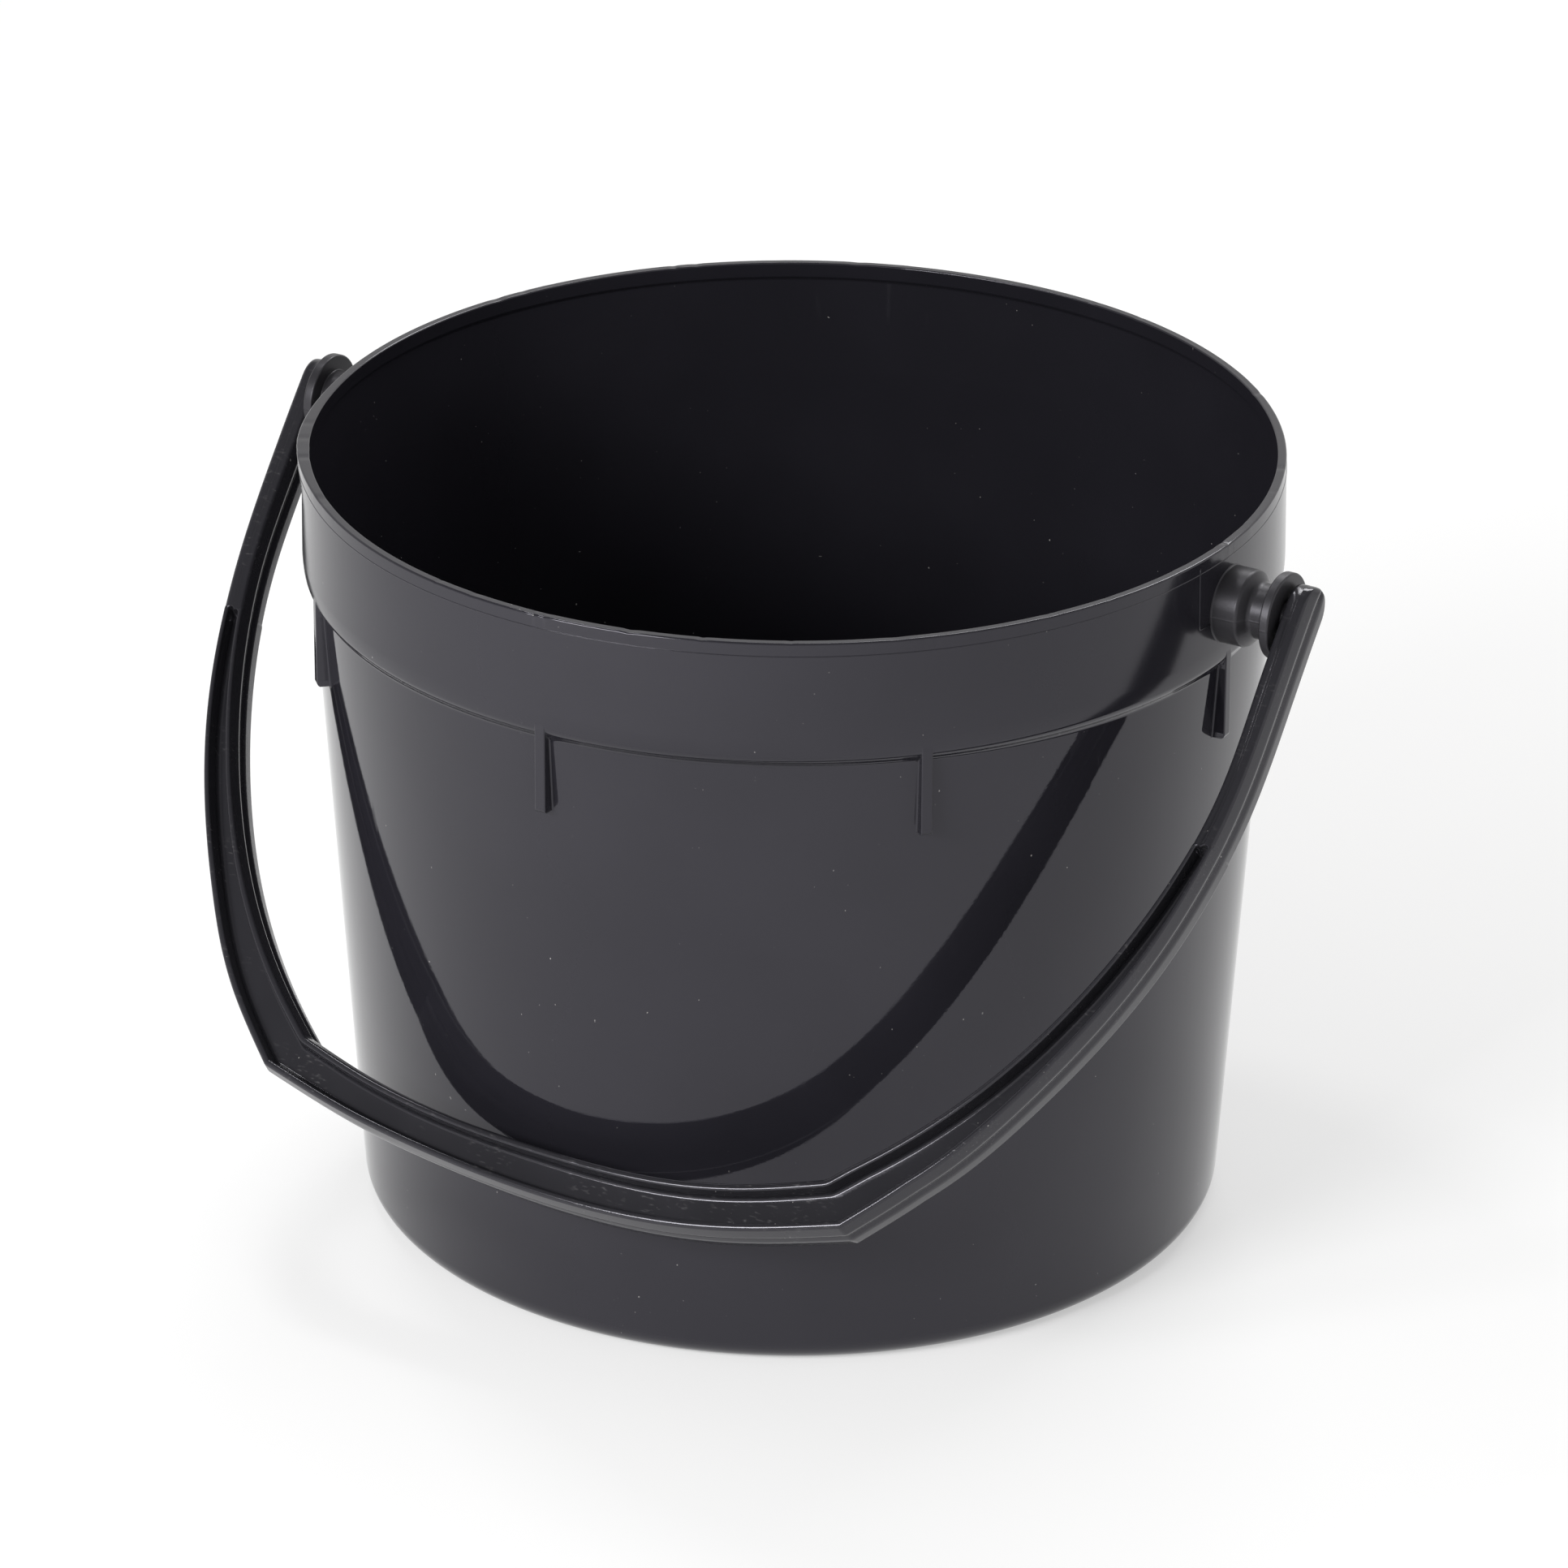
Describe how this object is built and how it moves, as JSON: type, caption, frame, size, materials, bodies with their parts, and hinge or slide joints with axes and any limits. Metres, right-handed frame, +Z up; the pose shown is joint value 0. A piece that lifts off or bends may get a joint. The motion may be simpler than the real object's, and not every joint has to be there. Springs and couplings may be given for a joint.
{
  "type": "bucket",
  "caption": "Tapered round plastic florist bucket with a collar band, stacking fins and a swinging moulded bail handle.",
  "frame": {"origin": "centre of the ring that the tub stands on", "axes": "+Z up along the tub's axis, +X along the bail's pivot line, -Y towards the side where the bail hangs at rest"},
  "size_m": [0.2656, 0.2319, 0.185],
  "materials": {
    "tub_plastic": "gloss",
    "bail_plastic": "satin gloss"
  },
  "bodies": {
    "tub": {"bucket_body": "tub_plastic"},
    "bail": {"bail_handle": "bail_plastic"}
  },
  "joints": [
    {"name": "bail_swing", "type": "hinge", "parent": "tub", "child": "bail", "pos_m": [0, 0, 0.1701], "axis": [-1, 0, 0], "range_deg": [0, 275.7]}
  ]
}
